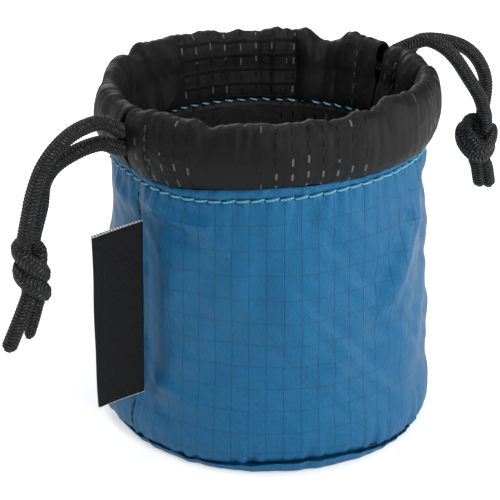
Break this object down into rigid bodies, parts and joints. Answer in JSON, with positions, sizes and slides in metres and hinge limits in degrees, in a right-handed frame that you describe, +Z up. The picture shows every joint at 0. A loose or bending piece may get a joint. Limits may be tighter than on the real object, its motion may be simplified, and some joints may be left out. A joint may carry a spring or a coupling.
{
  "type": "lens pouch",
  "caption": "Padded round pouch for a lens: a blue wall and base, a dark collar that closes with knotted pull cords, and a side label.",
  "frame": {"origin": "middle of the base's underside", "axes": "+Z up out of the mouth; X runs through the two cord exits, with the side seam and its label on -X; +Y towards the back half of the mouth"},
  "size_m": [0.1465, 0.0868, 0.0947],
  "materials": {
    "shell_cloth": "satin coated ripstop weave, mid blue",
    "hem_cloth": "folded edge of the blue cloth",
    "blue_thread": "light blue sewing thread",
    "black_thread": "black sewing thread",
    "padding": "grey soft foam",
    "lining_cloth": "plain dark lining",
    "collar_cloth": "black cloth with a block ripstop weave",
    "label_cloth": "black woven satin",
    "cord": "black round braid with grey flecks"
  },
  "bodies": {
    "pouch": {"outer_wall": "shell_cloth", "wall_padding": "padding", "wall_lining": "lining_cloth", "mouth_hem": "hem_cloth", "hem_topstitch": "blue_thread", "lining_topstitch": "blue_thread", "base_panel": "shell_cloth", "base_padding": "padding", "base_lining": "lining_cloth", "base_seam_thread": "black_thread", "front_collar_left": "collar_cloth", "front_collar_right": "collar_cloth", "back_collar_left": "collar_cloth", "back_collar_right": "collar_cloth", "end_stitch_front_left": "black_thread", "end_stitch_front_right": "black_thread", "end_stitch_back_left": "black_thread", "end_stitch_back_right": "black_thread", "side_seam_thread_upper": "black_thread", "side_seam_thread_lower": "black_thread", "left_loop_front": "cord", "left_loop_back": "cord", "right_loop_front": "cord", "right_loop_back": "cord"},
    "front_lip": {"front_collar_middle": "collar_cloth"},
    "back_lip": {"back_collar_middle": "collar_cloth"},
    "label": {"woven_label": "label_cloth"},
    "left_pull": {"left_strand_upper": "cord", "left_strand_lower": "cord", "left_knot": "cord", "left_end_long": "cord", "left_end_short": "cord"},
    "right_pull": {"right_strand_front": "cord", "right_strand_rear": "cord", "right_knot": "cord", "right_end_front": "cord", "right_end_rear": "cord"}
  },
  "joints": [
    {"name": "left_cord_pull", "type": "slide", "parent": "pouch", "child": "left_pull", "axis": [-1, 0, 0], "range_m": [0, 0.032]},
    {"name": "right_cord_pull", "type": "slide", "parent": "pouch", "child": "right_pull", "axis": [1, 0, 0], "range_m": [0, 0.032]},
    {"name": "front_lip_close", "type": "slide", "parent": "pouch", "child": "front_lip", "axis": [0, 1, 0], "range_m": [0, 0.028], "deforming": ["left_loop_front", "right_loop_front"]},
    {"name": "back_lip_close", "type": "slide", "parent": "pouch", "child": "back_lip", "axis": [0, -1, 0], "range_m": [0, 0.028], "deforming": ["left_loop_back", "right_loop_back"]},
    {"name": "label_flap", "type": "hinge", "parent": "pouch", "child": "label", "pos_m": [-0.0421, 0, 0.03625], "axis": [0.043, 0, 0.9991], "range_deg": [-55, 55]}
  ],
  "couplings": [
    {"joint": "right_cord_pull", "follows": "left_cord_pull", "ratio": 1},
    {"joint": "front_lip_close", "follows": "left_cord_pull", "ratio": 0.875},
    {"joint": "back_lip_close", "follows": "left_cord_pull", "ratio": 0.875}
  ]
}
